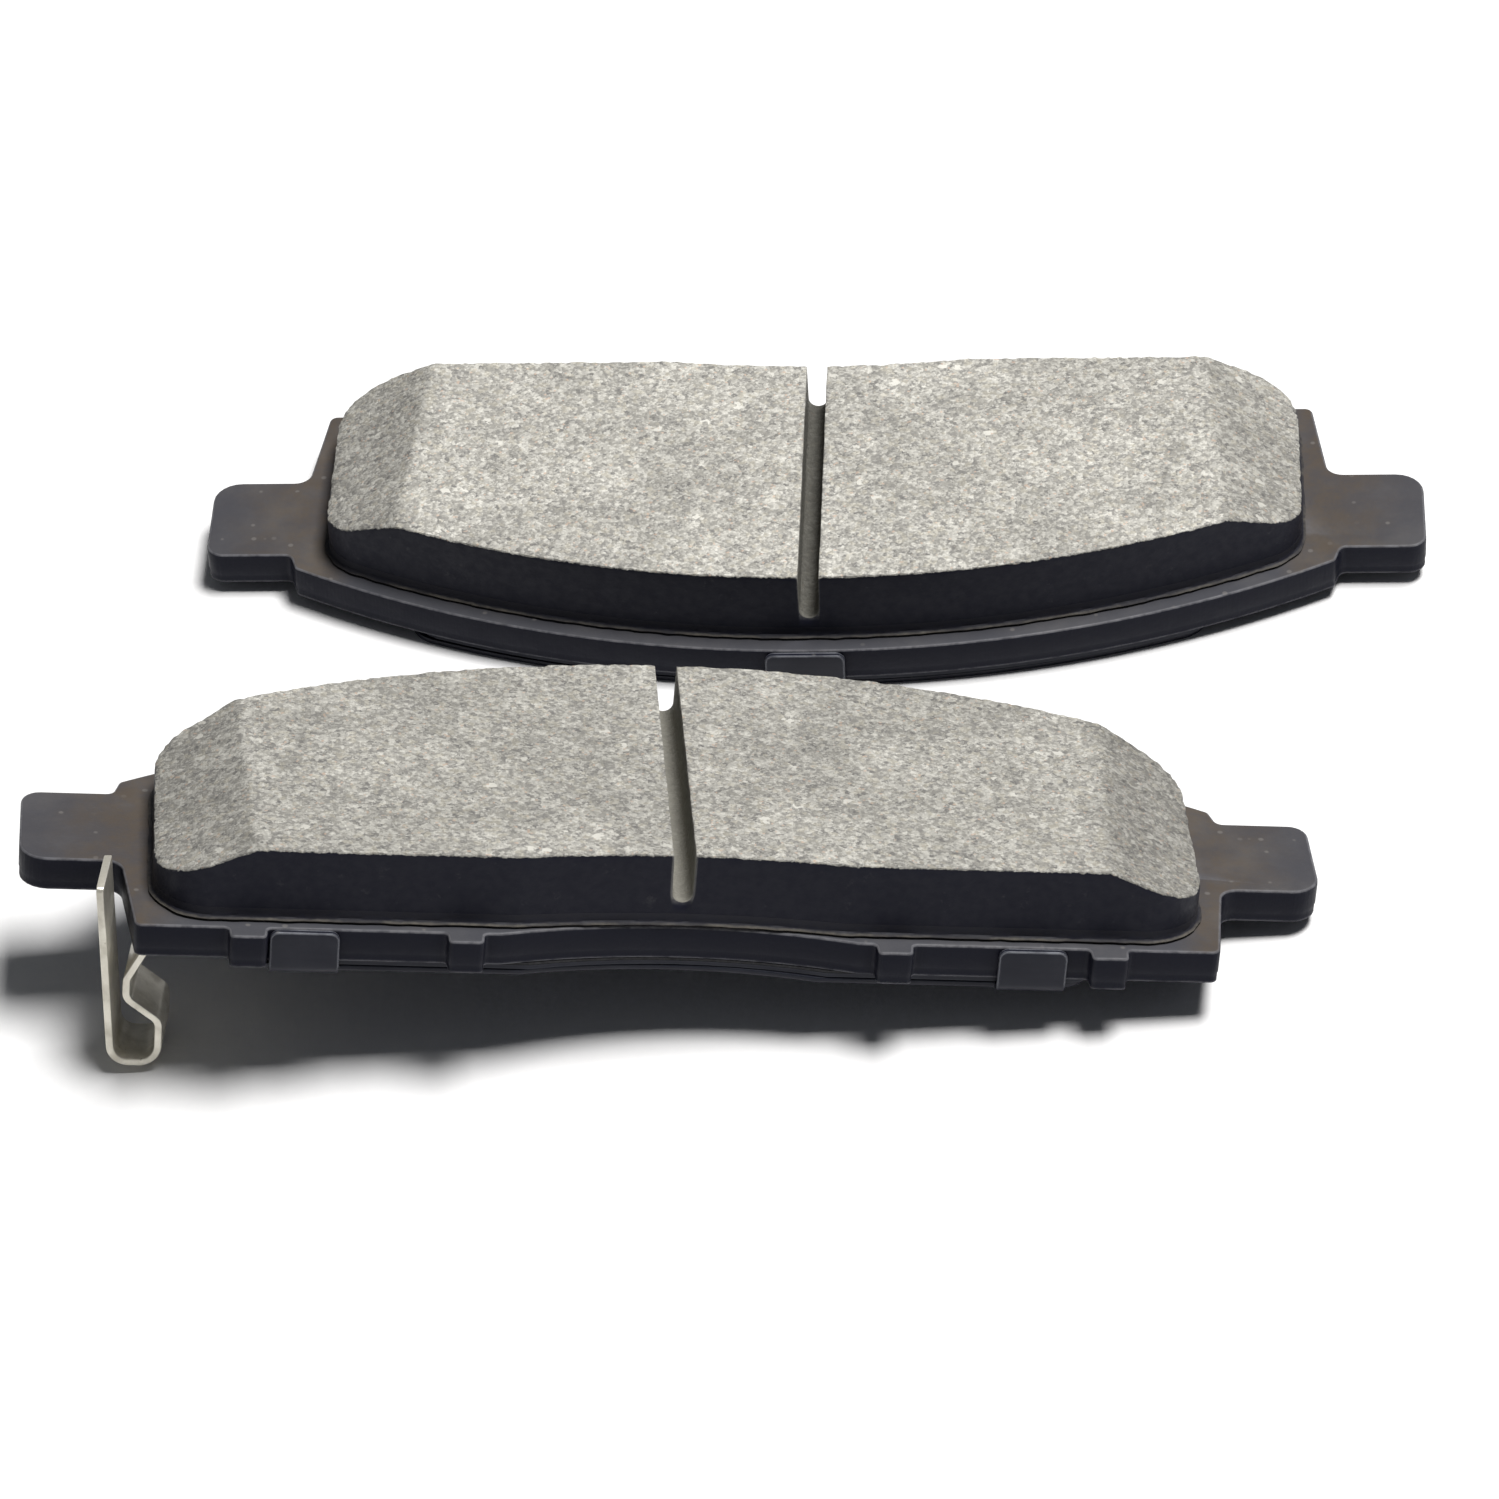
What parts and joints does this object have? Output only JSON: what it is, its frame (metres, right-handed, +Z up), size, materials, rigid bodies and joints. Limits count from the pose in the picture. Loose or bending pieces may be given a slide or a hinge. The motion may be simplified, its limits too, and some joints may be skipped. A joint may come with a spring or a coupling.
{
  "type": "brake pad",
  "caption": "Disc brake pad set: slotted, end-chamfered friction blocks on eared steel backing plates with clip-on tabbed shims and a riveted spring wear indicator.",
  "frame": {"origin": "middle of the set's bounding box, on the surface that the pads lie on", "axes": "+X along the pads, to the viewer's right; +Y from the inner pad (with the wear indicator) to the outer pad; +Z up, out of the outer pad's friction face"},
  "size_m": [0.1998, 0.1427, 0.0366],
  "materials": {
    "painted_plate": "thin dark grey-black powder paint over stamped steel, satin, heat-tinted brownish near the friction block",
    "adhesive": "cured brown phenolic adhesive, matte",
    "underlayer": "dark moulded fibre underlayer, matte",
    "friction": "ground resin-bonded friction compound, warm grey with fine pale and dark specks; its sides painted blue-black; matte",
    "shim_rubber": "black rubber coating, matte",
    "shim_steel": "dark coated sheet steel, satin",
    "spring_steel": "bright zinc-plated spring strip, slightly yellow",
    "rivet_steel": "plated steel rivet, satin"
  },
  "bodies": {
    "outer_pad": {"outer_backing_plate": "painted_plate", "outer_adhesive_film": "adhesive", "outer_underlayer": "underlayer", "outer_friction_block": "friction", "outer_damping_shim_rubber": "shim_rubber", "outer_damping_shim_core": "shim_steel"},
    "outer_shim": {"outer_tabbed_shim": "shim_steel"},
    "inner_pad": {"inner_backing_plate": "painted_plate", "inner_adhesive_film": "adhesive", "inner_underlayer": "underlayer", "inner_friction_block": "friction", "inner_damping_shim_rubber": "shim_rubber", "inner_damping_shim_core": "shim_steel", "wear_indicator": "spring_steel", "wear_indicator_rivet": "rivet_steel"},
    "inner_shim": {"inner_tabbed_shim": "shim_steel"}
  },
  "joints": [
    {"name": "inner_pad_lift", "type": "slide", "parent": "outer_pad", "child": "inner_pad", "axis": [0, 0, 1], "range_m": [0, 0.05]},
    {"name": "outer_shim_slide", "type": "slide", "parent": "outer_pad", "child": "outer_shim", "axis": [-0.998, 0.0628, 0], "range_m": [-0.0021, 0.0007]},
    {"name": "inner_shim_slide", "type": "slide", "parent": "inner_pad", "child": "inner_shim", "axis": [0.9933, 0.0211, -0.114], "range_m": [0, 0.0028]}
  ]
}
